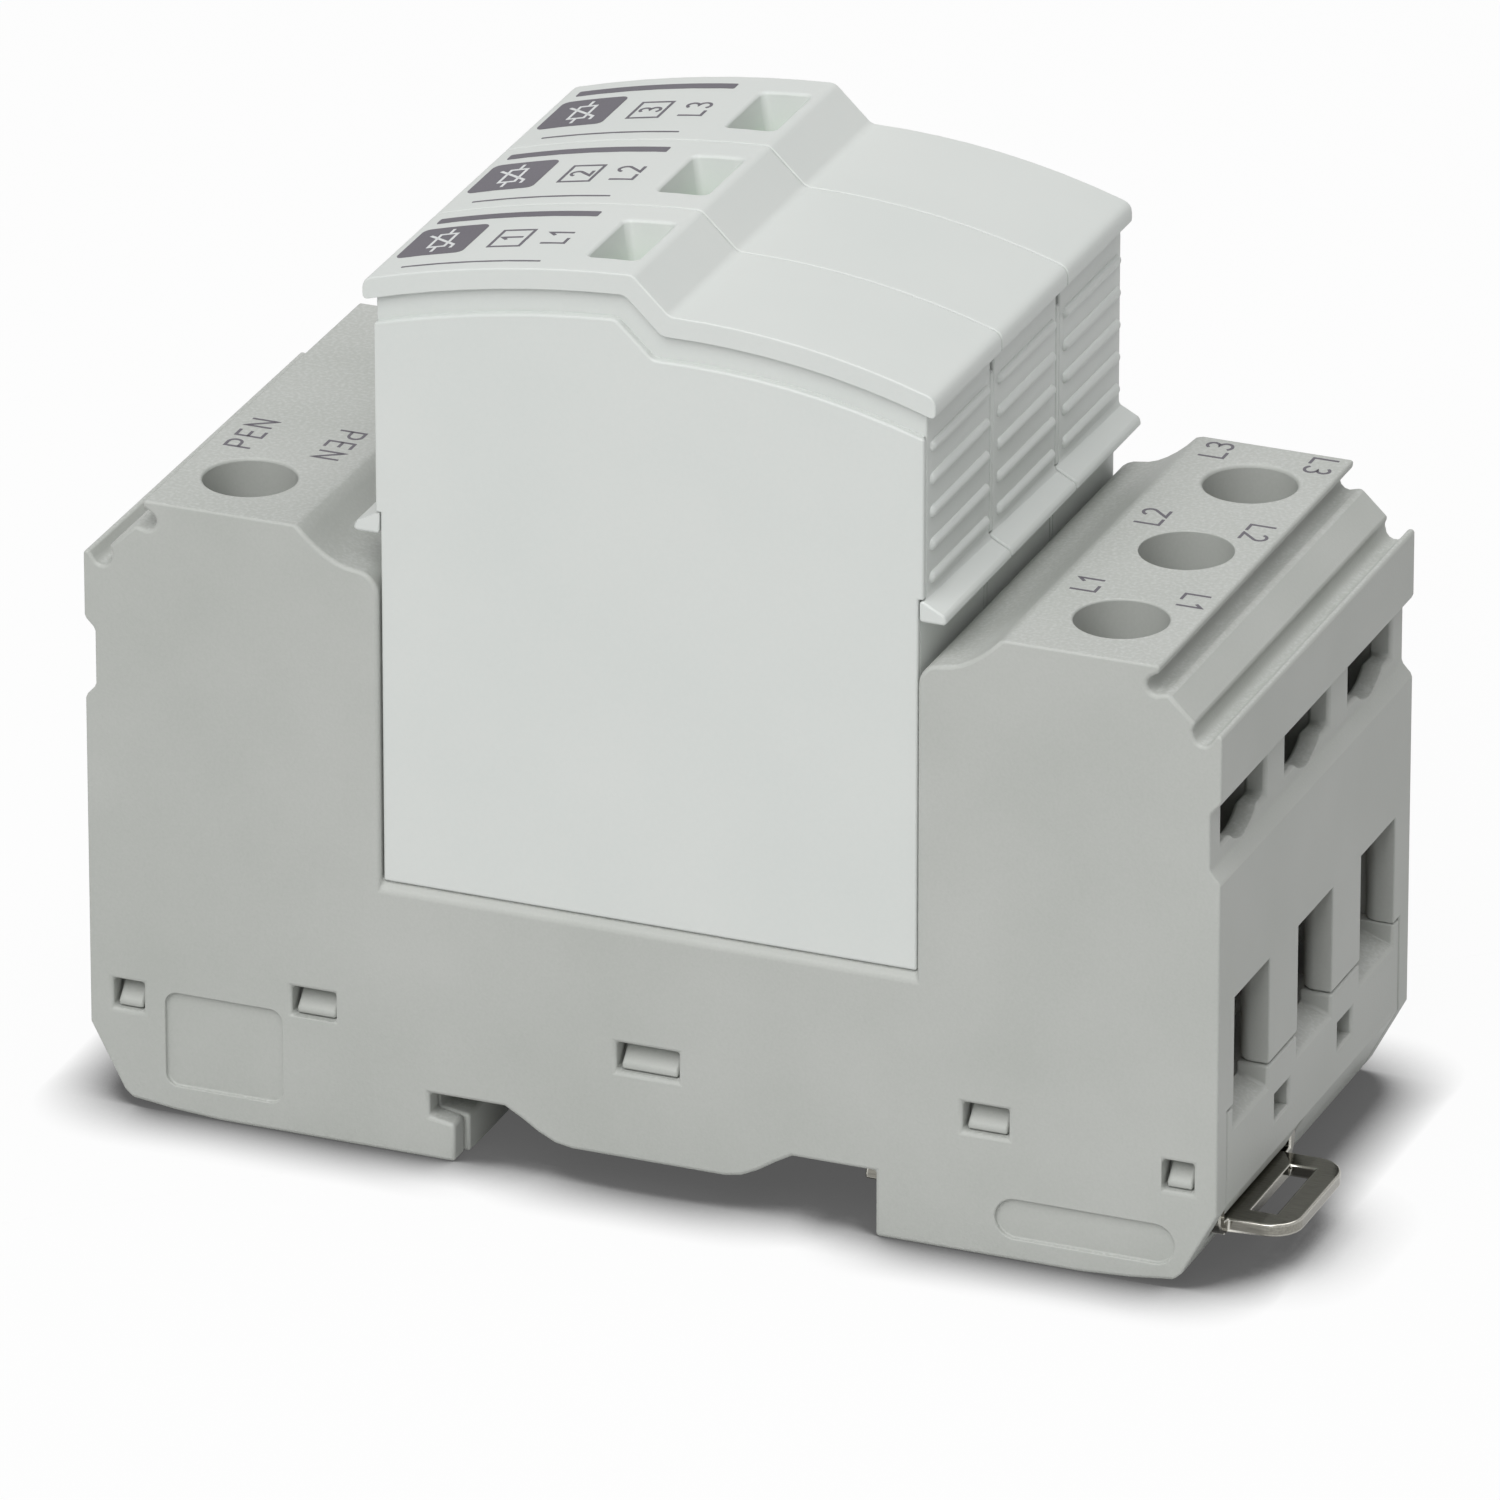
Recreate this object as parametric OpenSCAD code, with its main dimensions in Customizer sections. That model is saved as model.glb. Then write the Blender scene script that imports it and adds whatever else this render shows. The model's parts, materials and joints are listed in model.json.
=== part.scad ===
// Surge arrester for a 35 mm mounting rail: a terminal base that carries three plug-in modules.
// X runs from the common terminal to the line terminals, Y across the poles and Z away from the rail.
// The origin lies on the rail seat, at the middle of the rail and of the poles.

/* [Base] */
// Length of the base from end to end
base_length = 90; // [88:0.5:100]
// Distance from one pole to the next
pole_pitch = 13.33; // [13.2:0.01:16]
// How far the base stands out past the outer plugs
side_margin = 0.3; // [0.2:0.05:0.8]
// Height of the terminal shoulders above the rail seat
shoulder_height = 44.4; // [43.5:0.1:48]
// Length of the bay that the plugs stand in
bay_length = 42.7; // [41:0.1:44]
// Height of the bay floor above the rail seat
bay_floor = 16.65; // [16.4:0.05:18]
// Thickness of the bay floor
bay_floor_t = 2; // [1.4:0.1:2.2]
// Depth of the feet below the rail seat
foot_depth = 5.3; // [4.8:0.1:7]
// Thickness of the side walls
side_wall = 2; // [1.4:0.1:2.1]
// Thickness of the end walls, which form the wire funnels
end_wall = 2.6; // [2.2:0.1:4]
// Height of the joint between housing and bottom cover at the ends
parting_height = 8.75; // [8.4:0.05:9.5]
// Play between the bottom cover and the housing
cover_play = 0.1; // [0.05:0.05:0.2]
// Thickness of the bottom cover's walls and ribs
cover_wall = 1.6; // [1.2:0.1:2]
// Depth of the finger notch along both end faces
band_depth = 0.85; // [0.4:0.05:1.2]

/* [Rail slot] */
// Width of the mounting rail
rail_width = 35; // [34.5:0.1:35.5]
// Thickness of the rail's flange
rail_sheet = 1; // [0.8:0.1:1.2]
// Reach of the fixed hook under the rail's flange
hook_reach = 2.05; // [1.5:0.05:2.4]
// Depth of the belly that hangs into the rail's channel
belly_depth = 2.55; // [1.5:0.05:3.5]

/* [Terminals] */
// Distance from an end face to the screw axis
screw_from_end = 10.5; // [10:0.1:11]
// Diameter of the screwdriver holes
access_d = 7.1; // [6:0.1:7.4]
// Diameter of the terminal screws
screw_d = 5; // [4:0.5:5]
// Diameter of the screw heads
head_d = 7.8; // [7.6:0.1:8.4]
// Height of the screw heads
head_h = 4; // [3:0.1:4.5]
// Width of the wire entries
entry_w = 7.3; // [6.8:0.1:7.4]
// Height of the top edge of the wire entries
entry_top = 17.4; // [16.5:0.1:18]
// Width of the comb slots above the wire entries
comb_w = 9.3; // [8.5:0.1:9.6]
// Height of the lower edge of the comb slots
comb_bottom = 29.95; // [29.5:0.05:31]
// Height of the comb slots
comb_h = 3.25; // [2.6:0.05:3.6]
// Wall thickness of the clamp cages
cage_wall = 1; // [0.8:0.1:1.1]

/* [Contacts] */
// Thickness of the copper strips
strip_t = 1.8; // [1.2:0.1:2]
// Width of the copper strips
strip_w = 6.4; // [5:0.1:6.6]
// Height of the seat of the copper strips
strip_seat = 5.4; // [5:0.1:5.6]
// Distance of the plug blades from the middle of the plug
blade_x = 12; // [11:0.5:14]
// Width of the plug blades
blade_w = 8; // [6:0.5:9]
// Thickness of the plug blades
blade_t = 1.2; // [0.8:0.1:1.5]
// Length of the blades below the plug
blade_reach = 8; // [6:0.5:8.5]

/* [Plugs] */
// Gap between neighbouring plugs
plug_gap = 0.13; // [0.1:0.01:0.25]
// Play of the plugs in the bay at each end
plug_play = 0.15; // [0.1:0.05:0.4]
// Height of the plug's crown above the rail seat
plug_top = 68.5; // [66:0.1:74]
// Drop from the raised half of the crown to the lower half
crown_step = 2.9; // [1.5:0.1:3.5]
// Length of the plug's cap
cap_length = 45; // [44.4:0.1:47]
// Thickness of the cap's lip
cap_t = 1.65; // [1.2:0.05:2]
// Height of the recessed band under the lip
band_h = 1.95; // [1.4:0.05:2.6]
// How far the side panel stands out from the case
panel_t = 0.6; // [0.4:0.05:0.9]
// Wall thickness of the plug case
case_wall = 1.4; // [1:0.1:1.6]
// Number of gripping ribs on each end of a plug
grip_ribs = 5; // [3:1:5]
// Spacing of the gripping ribs
grip_pitch = 2.6; // [2:0.1:2.7]
// Length of the status window
window_l = 4.1; // [3:0.1:4.3]
// Width of the status window across the plug
window_w = 7.6; // [6:0.1:8]

/* [Rail latch] */
// Thickness of the latch sheet
latch_sheet = 1; // [0.8:0.1:1.1]
// Width of the latch
latch_w = 15.8; // [14:0.1:16]
// Distance from the near side of the base to the middle of the latch
latch_from_side = 10.8; // [10.7:0.1:11.8]
// Width of the screwdriver loop
loop_w = 12.3; // [10:0.1:13]
// How far the loop reaches past the end of the base
loop_reach = 4.2; // [3.6:0.1:6]
// Height of the latch's side flanges
flange_h = 2.9; // [2:0.1:3.3]
// Travel of the latch
latch_travel = 4; // [3:0.1:4.2]

/* [Hidden] */
half = base_length / 2;
bay_half = bay_length / 2;
base_width = 3 * pole_pitch + 2 * side_margin;
inner_w = base_width - 2 * side_wall;
cover_w = inner_w - 2 * cover_play;
poles = [0, 1, 2];
// Each terminal is a side, 1 for the line end and -1 for the common end, and a pole
terminals = [[1, 0], [1, 1], [1, 2], [-1, 0]];
eps = 0.01;
over = 1;

// Rail slot: one wall lies close to the rail, the other leaves room to swing the base on
slot_left = -rail_width / 2 - 0.05;
slot_right = rail_width / 2 + 0.65;
rail_seat_l = 6;
hook_gap = rail_sheet + 0.9;
hook_slope = 0.33;
cover_hook_out = 0.35;
belly_run = 5.4;

// End faces: chamfer under the ends, notch band, marker grooves and shoulders
chamfer_top = 1.15;
foot_curve_l = 10.5;
band_bottom = comb_bottom - 1;
band_top = comb_bottom + comb_h;
band_slope = 1.3;
ramp_drop = 2.8;
ramp_lip = 0.12;
ramp_start = bay_half + 6.35;
bay_corner_r = 1.8;
groove_r = 0.75;
bay_edge = 0.7;

// Terminal stack, from the wire space upwards
screw_x = half - screw_from_end;
strip_top_z = entry_top + 0.2;
screw_tip = strip_top_z + strip_t;
head_z = comb_bottom - 0.35;
chamber_top = head_z + head_h + 0.4;
cage_play = 0.2;
cage_in = entry_w + 0.2;
cage_out = cage_in + 2 * cage_wall;
chamber_w = cage_out + 2 * cage_play;
chamber_x = bay_half + side_wall;
cage_l = 8;
cage_floor_t = 1.5;
cage_floor = parting_height - 0.15;
cage_plate = screw_tip + 0.4;
cage_plate_t = 3;
thread_play = 0.08;
dip_r = 4;
funnel_r = 1.2;
dip_depth = 1.1;

// Copper strips and forks
riser_x = chamber_x + 0.35;
strip_end = half - end_wall - 0.6;
fork_x = blade_x - blade_w / 2 - 0.5;
fork_t = 0.8;
fork_gap = blade_t / 2 + 0.1;
fork_top = bay_floor - bay_floor_t - 0.7;
cross_w = 3;
cross_x = blade_x + blade_w / 2 + 0.6;

// Bottom cover
tray_floor = 1.8;
latch_floor = 3.6;
tray_step_x = slot_right;
cover_end = end_wall;
end_window_z = parting_height - 5.2;
end_window_w = 3.1;
end_window_h = 2.15;
rib_places = [fork_x + 1.2, cross_x + cross_w / 2];

// Plug crown: two arcs with a slanted step between them
crown_r = 87;
crown_low_r = 62;
crown_x = 2.7;
step_from = -1.2;
step_to = 1.75;
step_lean = 0.37;
step_r = 0.4;
crown_steps = 8;

// Plug body in its pole's frame
plug_w = pole_pitch - plug_gap;
plug_half = plug_w / 2;
body_half = bay_half - plug_play;
upper_half = body_half + 0.4;
cap_half = cap_length / 2;
lip_r = 0.7;
lip_edge_r = 0.5;
rim_y = -plug_half + panel_t;
back_y = plug_half - case_wall;
case_floor = bay_floor + 1.5;
roof_drop = cap_t + 0.6;
cavity_half = body_half - case_wall;
ledge_z = shoulder_height + 0.2;
ledge_h = 0.9;
ledge_t = 0.75;
ledge_out = upper_half + 1.8;
ledge_top = ledge_z + ledge_t + ledge_h;
grip_r = 0.5;
grip_sink = 0.15;
grip_first = ledge_z + 3;
grip_from = rim_y + 1.1;
grip_to = plug_half - 0.9;
blade_play = 0.15;
panel_play = 0.1;

// Status window and the flag below it
window_x = -3.95;
window_depth = 3.7;
window_taper = 0.9;
window_corner_r = 0.6;
window_top = crown(window_x);
flag_t = 0.6;
flag_play = 0.15;
near_in = rim_y + case_wall;
flag_top = window_top - window_depth - flag_play;
flag_l = window_l + 1.6;
tray_t = 0.8;
tray_top = flag_top - flag_t - flag_play;
tray_l = 13.5;
post_t = 1;
post_h = 0.8;
flag_spring_d = 0.9;
flag_wire = 0.2;

// Varistor and its contacts
varistor_l = 33;
varistor_h = 28;
varistor_z = bay_floor + 13.35;
blade_top = varistor_z - 4;
tag_w = blade_w / 2;
tag_top = varistor_z + 6;
tag_t = 1;
blade_point = 0.8;
back_strip_t = 0.6;
varistor_front = blade_t / 2;
varistor_back = back_y - back_strip_t;
shelf_h = 1.5;
shelf_l = 12;

// Rail latch and its spring
latch_y = -base_width / 2 + latch_from_side;
latch_top = -rail_sheet - 0.2;
latch_z = latch_top - latch_sheet;
latch_play = 0.2;
nose_x = rail_width / 2 - 1.3;
flange_x = screw_x - 3.5;
flange_end = half - 0.8;
loop_hole_l = 2;
loop_rim = 2;
loop_r = 2.4;
tab_x = flange_x;
tab_w = 4;
tab_h = 2.8;
latch_spring_d = 3;
latch_wire = 0.5;
spring_seat_x = tab_x + latch_sheet + latch_travel + 5;

base_grey = "#B2B4AF";
plug_grey = "#D2D5D3";
steel = "#C9CAC6";
copper = "#C58B62";

function pole_y(n) = (n - 1) * pole_pitch;
function mirrored(points) = [for (i = [len(points) - 1 : -1 : 0]) [-points[i][0], points[i][1]]];
function reversed(points) = [for (i = [len(points) - 1 : -1 : 0]) points[i]];
function arc(centre, r, from, to, steps = 6) =
    [for (i = [0 : steps]) let (a = from + (to - from) * i / steps) centre + r * [cos(a), sin(a)]];

// Smooth bend from p to r that starts and ends along the lines to q, from its first to its last fourth
function bend(p, q, r, first = 0, last = 4) =
    [for (i = [first : last]) let (t = i / 4, u = 1 - t) u * u * p + 2 * t * u * q + t * t * r];
// Soft step from one point to another, upright at both ends
function eased(p, q) =
    [for (i = [0 : 4]) let (t = i / 4)
        [p[0] + (q[0] - p[0]) * t * t * (3 - 2 * t), p[1] + (q[1] - p[1]) * t]];

// Crown of the plug, as a height over the length, and as a line lowered by drop
function crown(x) = plug_top - crown_r + sqrt(crown_r * crown_r - (x - crown_x) * (x - crown_x));
function crown_low(x) =
    plug_top - crown_step - crown_low_r + sqrt(crown_low_r * crown_low_r - (x - crown_x) * (x - crown_x));
function crown_line(reach, drop) =
    let (a = step_from - step_lean * drop, b = step_to - step_lean * drop,
         top = [a, crown(a) - drop], foot = [b, crown_low(b) - drop],
         way = step_r * (foot - top) / norm(foot - top),
         c = a - step_r, d = b + step_r)
    concat(
        [for (i = [0 : crown_steps]) let (x = -reach + (c + reach) * i / crown_steps) [x, crown(x) - drop]],
        bend([c, crown(c) - drop], top, top + way, 1, 4),
        bend(foot - way, foot, [d, crown_low(d) - drop], 0, 3),
        [for (i = [0 : crown_steps]) let (x = d + (reach - d) * i / crown_steps) [x, crown_low(x) - drop]]);

// Underside from the fixed hook to the wall on the latch side
function rail_side(reach) = concat(
    [[slot_left + reach, -foot_depth], [slot_left + reach, -hook_gap - hook_slope], [slot_left, -hook_gap],
     [slot_left, 0]],
    [for (i = [0 : 4]) let (t = i / 4)
        [-(rail_width / 2 - rail_seat_l - belly_run * t), -belly_depth * pow(sin(90 * t), 1.25)]],
    [for (i = [0 : 4]) let (t = 1 - i / 4)
        [rail_width / 2 - rail_seat_l - belly_run * t, -belly_depth * pow(sin(90 * t), 1.25)]],
    [[slot_right, 0], [slot_right, -foot_depth]]);

// Foot that curves up to the chamfer under an end face
function foot_end() = [
    [half - foot_curve_l, -foot_depth], [half - 6.7, -foot_depth + 0.25], [half - 3.4, -foot_depth + 0.65],
    [half - 2.7, -foot_depth + 1.3], [half, chamfer_top]];

// End face above the chamfer, with its notch band and the two grooves that hold marker strips
function tower_end() = let (s = shoulder_height) concat(
    eased([half, band_bottom - band_slope], [half - band_depth, band_bottom]),
    eased([half - band_depth, band_top], [half, band_top + band_slope - 0.1]),
    [[half, s - 5], [half - 0.15, s - 4.8], [half - 0.45, s - 4.8]],
    arc([half - 1.5, s - 5.05], groove_r, -20, -180),
    [[half - 2.35, s - 4.7], [half - 2.1, s - 4.1], [half - 4.2, s - 2.1]],
    arc([half - 5.15, s - 1.6], groove_r, -60, -235),
    [[half - 4.95, s - 0.6], [half - 4.9, s - 0.15], [half - 5.05, s]]);

// Shoulder that ramps down to the bay
function shoulder() = concat(
    [[ramp_start + 0.5, shoulder_height]],
    [for (i = [0 : 6]) let (t = i / 6, end = bay_half + bay_corner_r)
        [ramp_start + (end - ramp_start) * t,
         shoulder_height - ramp_lip - (ramp_drop - ramp_lip) * (1 - pow(1 - t, 1.8))]],
    arc([bay_half + bay_corner_r, shoulder_height - ramp_drop - bay_corner_r], bay_corner_r, 105, 180, 5));

function base_outline(reach) =
    let (side = concat(foot_end(), tower_end(), shoulder(), [[bay_half, bay_floor]]))
    concat(rail_side(reach), side, mirrored(side));

function cover_outline() =
    let (side = concat(foot_end(), [[half, parting_height - cover_play]]))
    concat(rail_side(hook_reach + cover_hook_out), side, mirrored(side));

// Snap windows in a side wall: place, lower edge, length and height
function snap_windows() = [
    for (s = [-1, 1]) [s * (half - 3.1), parting_height - 6.2, 2.5, 2.45],
    for (s = [-1, 1]) [s * (half - 18.2), parting_height - 4.3, 3.65, 2.4],
    [0, parting_height - 4.3, 5, 2.4]];

module along_y(width) {
    rotate([90, 0, 0]) translate([0, 0, -width / 2]) linear_extrude(width) children();
}

module along_x(from, length) {
    translate([from, 0, 0]) rotate([90, 0, 90]) linear_extrude(length) children();
}

module on_side(s) {
    if (s > 0) children();
    else mirror([1, 0, 0]) children();
}

module block(from, to) {
    translate(from) cube(to - from);
}

// Helical spring along X, swept from rings of wire
module coil(length, d, wire, turns) {
    sides = 6;
    rings = turns * 12;
    pitch = (length - wire) / rings;
    points = [for (i = [0 : rings]) for (k = [0 : sides - 1])
        let (a = 30 * i, b = 360 * k / sides, r = d / 2 - wire / 2 + wire / 2 * cos(b))
        [wire / 2 + pitch * i + wire / 2 * sin(b), r * cos(a), r * sin(a)]];
    skin = [for (i = [0 : rings - 1]) for (k = [0 : sides - 1])
        let (m = (k + 1) % sides, a = i * sides, b = a + sides)
        each [[a + k, a + m, b + m], [a + k, b + m, b + k]]];
    first = [for (k = [sides - 1 : -1 : 0]) k];
    last = [for (k = [0 : sides - 1]) rings * sides + k];
    polyhedron(points, concat(skin, [first, last]), convexity = 10);
}

// Inside of the housing between its side walls, from below up to the bay floor
module inner_space() {
    inside = half - end_wall;
    along_y(inner_w) polygon([
        [-half - over, -foot_depth - over], [half + over, -foot_depth - over], [half + over, parting_height],
        [inside, parting_height], [inside, bay_floor - bay_floor_t], [-inside, bay_floor - bay_floor_t],
        [-inside, parting_height], [-half - over, parting_height]]);
}

module terminal_chamber() {
    block([chamber_x, -chamber_w / 2, bay_floor - bay_floor_t - over],
          [half - end_wall, chamber_w / 2, chamber_top]);
}

// Wire entry, whose sides flare round into the chamber
module wire_funnel() {
    side = concat(
        [[half + over, entry_w / 2]],
        arc([half - end_wall + funnel_r, entry_w / 2 + funnel_r], funnel_r, -90, -180),
        [[half - end_wall - over, entry_w / 2 + funnel_r]]);
    translate([0, 0, parting_height - over]) linear_extrude(entry_top - parting_height + over)
        polygon(concat(side, [for (p = reversed(side)) [p[0], -p[1]]]));
}

module terminal_openings() {
    translate([screw_x, 0, chamber_top - over])
        cylinder(d = access_d, h = shoulder_height - chamber_top + 2 * over, $fn = 64);
    wire_funnel();
    block([half - end_wall - over, -comb_w / 2, comb_bottom],
          [half + over, comb_w / 2, comb_bottom + comb_h]);
    intersection() {
        translate([half - end_wall - over, 0, comb_bottom - dip_depth + dip_r])
            rotate([0, 90, 0]) cylinder(r = dip_r, h = end_wall + 2 * over, $fn = 48);
        block([half - end_wall - over, -dip_r, comb_bottom - 2 * dip_depth],
              [half + over, dip_r, comb_bottom + eps]);
    }
}

module blade_slits() {
    for (s = [-1, 1])
        translate([s * blade_x, 0, bay_floor - bay_floor_t / 2])
            cube([blade_w + 0.6, blade_t + 0.8, bay_floor_t + over], center = true);
}

// Bevel along the outer edge of the bay floor
module bay_bevel() {
    along_x(-bay_half, bay_length) polygon([
        [base_width / 2 + eps, bay_floor - bay_edge], [base_width / 2 + eps, bay_floor + eps],
        [base_width / 2 - bay_edge, bay_floor + eps]]);
}

module rounded_plate(length, height, r) {
    square([length - 2 * r, height], center = true);
    square([length, height - 2 * r], center = true);
    for (s = [-1, 1]) for (t = [-1, 1])
        translate([s * (length / 2 - r), t * (height / 2 - r)]) circle(r, $fn = 32);
}

// Shallow sunk fields low on the near side wall
module marking_fields() {
    depth = 0.35;
    translate([-half + 10.85, -base_width / 2 + depth / 2, 0.8])
        along_y(depth + 2 * eps) rounded_plate(9.5, 7.7, 1);
    translate([half - 10.35, -base_width / 2 + depth / 2, -1.95])
        along_y(depth + 2 * eps) rounded_plate(14.1, 3.2, 1.59);
}

module housing() {
    color(base_grey) difference() {
        along_y(base_width) polygon(base_outline(hook_reach));
        inner_space();
        for (s = [-1, 1]) on_side(s) for (n = poles) translate([0, pole_y(n), 0]) terminal_chamber();
        for (t = terminals) on_side(t[0]) translate([0, pole_y(t[1]), 0]) terminal_openings();
        for (n = poles) translate([0, pole_y(n), 0]) blade_slits();
        for (w = snap_windows())
            translate([w[0] - w[2] / 2, -base_width / 2 - over, w[1]])
                cube([w[2], base_width + 2 * over, w[3]]);
        bay_bevel();
        mirror([0, 1, 0]) bay_bevel();
        marking_fields();
    }
}

// Snap hooks that stand in the windows of the side walls
module snap_hooks() {
    out = side_wall + cover_play - 0.5;
    for (w = snap_windows()) {
        low = w[1] + cover_play;
        high = w[1] + w[3] - cover_play;
        translate([w[0], 0, 0]) along_x(-w[2] / 2 + 0.25, w[2] - 0.5) polygon([
            [cover_w / 2 - 0.5, low], [cover_w / 2 + out, low], [cover_w / 2 + out, low + 0.5],
            [cover_w / 2, high], [cover_w / 2 - 0.5, high]]);
    }
}

// Ramp and trough that guide a wire over the edge of the bottom cover
module wire_trough() {
    along_y(entry_w) polygon([
        [half - cover_end - over, parting_height - 0.9], [half - cover_end, parting_height - 0.9],
        [half + eps, parting_height - 1.9], [half + eps, parting_height + over],
        [half - cover_end - over, parting_height + over]]);
}

// Room for a clamp cage at its lowest, which also notches the side walls
module cage_pocket() {
    reach = cage_l / 2 + cage_play;
    translate([screw_x, 0, 0])
        block([-reach, -chamber_w / 2, cage_floor - cage_floor_t - cage_play],
              [reach, chamber_w / 2, parting_height + over]);
}

module latch_slot() {
    side = latch_w / 2 + latch_play;
    block([slot_right - over, latch_y - side, latch_z - latch_play],
          [half + over, latch_y + side, latch_top + latch_play]);
    for (s = [-1, 1]) {
        edge = latch_y + s * (latch_w / 2 - latch_sheet / 2);
        block([flange_x - latch_play, edge - latch_sheet / 2 - latch_play, latch_top],
              [half + over, edge + latch_sheet / 2 + latch_play, latch_z + flange_h + latch_play]);
    }
    block([tab_x - latch_play, latch_y - tab_w / 2 - latch_play, latch_top],
          [spring_seat_x, latch_y + tab_w / 2 + latch_play, latch_top + latch_spring_d + 2 * latch_play]);
}

// Cored pockets under the foot on the hook side
module foot_pockets() {
    from = -half + foot_curve_l + 1.5;
    to = slot_left - cover_wall;
    count = 3;
    pitch = (cover_w - cover_wall) / count;
    for (i = [0 : count - 1])
        block([from, -cover_w / 2 + cover_wall + i * pitch, -foot_depth - over],
              [to, -cover_w / 2 + (i + 1) * pitch, tray_floor - cover_wall]);
}

module bottom_cover() {
    tray_w = cover_w - 2 * cover_wall;
    inside = half - cover_end;
    color(base_grey) difference() {
        union() {
            difference() {
                along_y(cover_w) polygon(cover_outline());
                along_y(tray_w) polygon([
                    [-inside, tray_floor], [tray_step_x, tray_floor], [tray_step_x, latch_floor],
                    [inside, latch_floor], [inside, parting_height + over],
                    [-inside, parting_height + over]]);
            }
            for (s = [-1, 1]) for (x = rib_places)
                block([s * x - cover_wall / 2, -tray_w / 2 - eps, tray_floor - eps],
                      [s * x + cover_wall / 2, tray_w / 2 + eps, strip_seat]);
            snap_hooks();
            mirror([0, 1, 0]) snap_hooks();
        }
        for (t = terminals) on_side(t[0]) translate([0, pole_y(t[1]), 0]) {
            wire_trough();
            cage_pocket();
        }
        for (s = [-1, 1]) for (t = [-0.5, 0.5])
            block([s * (half - cover_end / 2) - cover_end, t * pole_pitch - end_window_w / 2, end_window_z],
                  [s * (half - cover_end / 2) + cover_end, t * pole_pitch + end_window_w / 2,
                   end_window_z + end_window_h]);
        latch_slot();
        foot_pockets();
    }
}

module latch_outline() {
    outer = half + loop_reach;
    difference() {
        union() {
            translate([nose_x, -latch_w / 2]) square([flange_end - nose_x, latch_w]);
            translate([flange_end - eps, -loop_w / 2]) square([outer - loop_r - flange_end + eps, loop_w]);
            translate([outer - loop_r - eps, -loop_w / 2 + loop_r])
                square([loop_r + eps, loop_w - 2 * loop_r]);
            for (s = [-1, 1])
                translate([outer - loop_r, s * (loop_w / 2 - loop_r)]) circle(loop_r, $fn = 32);
        }
        translate([outer - loop_rim - loop_hole_l, -loop_w / 2 + loop_rim])
            square([loop_hole_l, loop_w - 2 * loop_rim]);
    }
}

// Side flange of the latch, bent up with a round corner
module latch_flange() {
    bend = 1.5;
    edge = latch_w / 2;
    along_x(flange_x, flange_end - flange_x) difference() {
        translate([edge - latch_sheet, latch_z]) square([latch_sheet, flange_h]);
        difference() {
            translate([edge - bend + eps, latch_z - eps]) square([bend, bend]);
            translate([edge - bend, latch_z + bend]) circle(bend, $fn = 32);
        }
    }
}

module rail_latch() {
    color(steel) translate([0, latch_y, 0]) {
        difference() {
            translate([0, 0, latch_z]) linear_extrude(latch_sheet) latch_outline();
            for (s = [-1, 1])
                block([flange_x, s * latch_w / 2 - latch_sheet, latch_z - over],
                      [flange_end + eps, s * latch_w / 2 + latch_sheet, latch_top + over]);
        }
        for (s = [0, 1]) mirror([0, s, 0]) {
            latch_flange();
            block([flange_x, latch_w / 2 - latch_sheet - over, latch_z],
                  [flange_end, latch_w / 2 - latch_sheet + eps, latch_top]);
        }
        block([tab_x, -tab_w / 2, latch_z], [tab_x + latch_sheet, tab_w / 2, latch_top + tab_h]);
    }
}

module latch_spring() {
    color(steel) translate([tab_x + latch_sheet, latch_y, latch_top + latch_play / 2 + latch_spring_d / 2])
        coil(spring_seat_x - tab_x - latch_sheet, latch_spring_d, latch_wire, 6);
}

// Two springy leaves that grip a blade
module fork() {
    for (s = [0, 1]) mirror([0, s, 0])
        along_x(fork_x + 0.5, blade_w) polygon([
            [fork_gap, strip_seat + strip_t - eps], [fork_gap, fork_top - 1.2], [fork_gap + 0.5, fork_top],
            [fork_gap + 0.5 + fork_t, fork_top], [fork_gap + fork_t, fork_top - 1.2],
            [fork_gap + fork_t, strip_seat + strip_t - eps]]);
}

// Strip that rises from the fork to the terminal
module terminal_strip() {
    along_y(strip_w) polygon([
        [fork_x, strip_seat], [riser_x + strip_t, strip_seat], [riser_x + strip_t, strip_top_z],
        [strip_end, strip_top_z], [strip_end, strip_top_z + strip_t], [riser_x, strip_top_z + strip_t],
        [riser_x, strip_seat + strip_t], [fork_x, strip_seat + strip_t]]);
    fork();
}

module line_contact(n) {
    color(copper) translate([0, pole_y(n), 0]) terminal_strip();
}

module pen_busbar() {
    color(copper) mirror([1, 0, 0]) {
        translate([0, pole_y(0), 0]) terminal_strip();
        for (n = [1, 2]) translate([0, pole_y(n), 0]) {
            block([fork_x, -strip_w / 2, strip_seat],
                  [cross_x + cross_w, strip_w / 2, strip_seat + strip_t]);
            fork();
        }
        block([cross_x, pole_y(0), strip_seat],
              [cross_x + cross_w, pole_y(2) + strip_w / 2, strip_seat + strip_t]);
    }
}

// Clamping screw with a crossed recess, standing on its copper strip
module terminal_screw(t) {
    bevel = 0.5;
    recess = 1.8;
    color(steel) on_side(t[0]) translate([screw_x, pole_y(t[1]), 0]) difference() {
        rotate_extrude($fn = 64) polygon([
            [0, screw_tip], [screw_d / 2 - 0.6, screw_tip], [screw_d / 2 - thread_play, screw_tip + 0.6],
            [screw_d / 2 - thread_play, head_z], [head_d / 2, head_z], [head_d / 2, head_z + head_h - bevel],
            [head_d / 2 - bevel, head_z + head_h], [0, head_z + head_h]]);
        for (a = [0, 90]) rotate(a)
            translate([0, 0, head_z + head_h - recess / 2 + eps])
                cube([head_d * 0.62, 1.1, recess], center = true);
    }
}

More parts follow.
